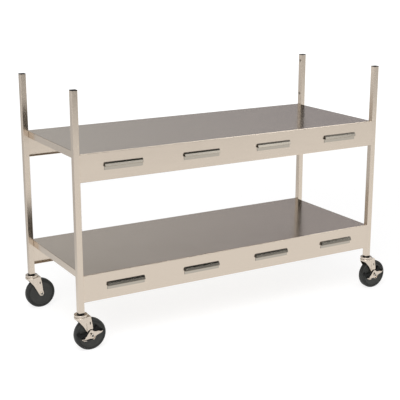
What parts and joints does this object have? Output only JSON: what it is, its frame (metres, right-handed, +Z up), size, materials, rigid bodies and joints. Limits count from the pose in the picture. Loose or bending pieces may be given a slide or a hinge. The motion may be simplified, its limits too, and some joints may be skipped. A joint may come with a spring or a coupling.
{
  "type": "breakfast cart",
  "caption": "Stainless steel kitchen cart: open decks between square corner posts, deep aprons with order-slip rails, swivel casters with foot brakes at the front.",
  "frame": {"origin": "centre of the bounding box's footprint, on the floor", "axes": "+X along the cart's length to the right, seen from the front, +Y from the front to the back, +Z up"},
  "size_m": [1.609, 0.6214, 1.0657],
  "materials": {
    "stainless_sheet": "brushed along the shelf's length",
    "stainless_tube": "fine brushed, along the tube",
    "galvanised_steel": "mill finish",
    "cap_plastic": "moulded, satin",
    "rail_aluminium": "satin anodised",
    "marble_glass": "clear",
    "rivet_aluminium": "plain",
    "insert_steel": "plated, dull",
    "sleeve_rubber": "matt",
    "plated_steel": "bright zinc and nickel plated",
    "bearing_steel": "polished",
    "black_steel": "satin black",
    "wheel_core": "moulded, satin",
    "tread_rubber": "matt"
  },
  "bodies": {
    "frame": {"post_front_left": "stainless_tube", "post_cap_front_left": "cap_plastic", "post_front_right": "stainless_tube", "post_cap_front_right": "cap_plastic", "post_back_left": "stainless_tube", "post_cap_back_left": "cap_plastic", "post_back_right": "stainless_tube", "post_cap_back_right": "cap_plastic", "upper_shelf": "stainless_sheet", "lower_shelf": "stainless_sheet", "upper_stiffeners": "galvanised_steel", "lower_stiffeners": "galvanised_steel", "slip_rail_upper_1": "rail_aluminium", "slip_rail_upper_2": "rail_aluminium", "slip_rail_upper_3": "rail_aluminium", "slip_rail_upper_4": "rail_aluminium", "slip_rail_lower_1": "rail_aluminium", "slip_rail_lower_2": "rail_aluminium", "slip_rail_lower_3": "rail_aluminium", "slip_rail_lower_4": "rail_aluminium", "slip_rail_marbles": "marble_glass", "slip_rail_rivets": "rivet_aluminium", "rivet_nuts": "insert_steel", "front_left_expander": "sleeve_rubber", "front_left_stem": "plated_steel", "front_right_expander": "sleeve_rubber", "front_right_stem": "plated_steel", "back_left_expander": "sleeve_rubber", "back_left_stem": "plated_steel", "back_right_expander": "sleeve_rubber", "back_right_stem": "plated_steel"},
    "front_left_swivel": {"front_left_balls": "bearing_steel", "front_left_fork": "plated_steel", "front_left_axle": "plated_steel", "front_left_bushing": "plated_steel"},
    "front_left_wheel": {"front_left_hub": "wheel_core", "front_left_tyre": "tread_rubber"},
    "front_left_brake_lever": {"front_left_brake_lever": "plated_steel"},
    "front_left_brake_bar": {"front_left_brake_bar": "black_steel"},
    "front_right_swivel": {"front_right_balls": "bearing_steel", "front_right_fork": "plated_steel", "front_right_axle": "plated_steel", "front_right_bushing": "plated_steel"},
    "front_right_wheel": {"front_right_hub": "wheel_core", "front_right_tyre": "tread_rubber"},
    "front_right_brake_lever": {"front_right_brake_lever": "plated_steel"},
    "front_right_brake_bar": {"front_right_brake_bar": "black_steel"},
    "back_left_swivel": {"back_left_balls": "bearing_steel", "back_left_fork": "plated_steel", "back_left_axle": "plated_steel", "back_left_bushing": "plated_steel"},
    "back_left_wheel": {"back_left_hub": "wheel_core", "back_left_tyre": "tread_rubber"},
    "back_right_swivel": {"back_right_balls": "bearing_steel", "back_right_fork": "plated_steel", "back_right_axle": "plated_steel", "back_right_bushing": "plated_steel"},
    "back_right_wheel": {"back_right_hub": "wheel_core", "back_right_tyre": "tread_rubber"}
  },
  "joints": [
    {"name": "front_left_turn", "type": "hinge", "parent": "frame", "child": "front_left_swivel", "pos_m": [-0.7736, -0.2778, 0.1644], "axis": [0, 0, 1], "continuous": true},
    {"name": "front_left_roll", "type": "hinge", "parent": "front_left_swivel", "child": "front_left_wheel", "pos_m": [-0.7373, -0.2778, 0.0672], "axis": [0, 1, 0], "continuous": true},
    {"name": "front_left_brake", "type": "hinge", "parent": "front_left_swivel", "child": "front_left_brake_lever", "pos_m": [-0.7373, -0.2778, 0.0672], "axis": [0, 1, 0], "range_deg": [0, 25]},
    {"name": "front_left_brake_press", "type": "slide", "parent": "front_left_swivel", "child": "front_left_brake_bar", "axis": [0, 1, 0], "range_m": [0, 0.001]},
    {"name": "front_right_turn", "type": "hinge", "parent": "frame", "child": "front_right_swivel", "pos_m": [0.701, -0.2778, 0.1644], "axis": [0, 0, 1], "continuous": true},
    {"name": "front_right_roll", "type": "hinge", "parent": "front_right_swivel", "child": "front_right_wheel", "pos_m": [0.7373, -0.2778, 0.0672], "axis": [0, 1, 0], "continuous": true},
    {"name": "front_right_brake", "type": "hinge", "parent": "front_right_swivel", "child": "front_right_brake_lever", "pos_m": [0.7373, -0.2778, 0.0672], "axis": [0, 1, 0], "range_deg": [0, 25]},
    {"name": "front_right_brake_press", "type": "slide", "parent": "front_right_swivel", "child": "front_right_brake_bar", "axis": [0, 1, 0], "range_m": [0, 0.001]},
    {"name": "back_left_turn", "type": "hinge", "parent": "frame", "child": "back_left_swivel", "pos_m": [-0.7736, 0.2778, 0.1644], "axis": [0, 0, 1], "continuous": true},
    {"name": "back_left_roll", "type": "hinge", "parent": "back_left_swivel", "child": "back_left_wheel", "pos_m": [-0.7373, 0.2778, 0.0672], "axis": [0, 1, 0], "continuous": true},
    {"name": "back_right_turn", "type": "hinge", "parent": "frame", "child": "back_right_swivel", "pos_m": [0.701, 0.2778, 0.1644], "axis": [0, 0, 1], "continuous": true},
    {"name": "back_right_roll", "type": "hinge", "parent": "back_right_swivel", "child": "back_right_wheel", "pos_m": [0.7373, 0.2778, 0.0672], "axis": [0, 1, 0], "continuous": true}
  ],
  "couplings": [
    {"joint": "front_left_brake_press", "follows": "front_left_brake", "m_per_rad": 0.00229},
    {"joint": "front_right_brake_press", "follows": "front_right_brake", "m_per_rad": 0.00229}
  ]
}
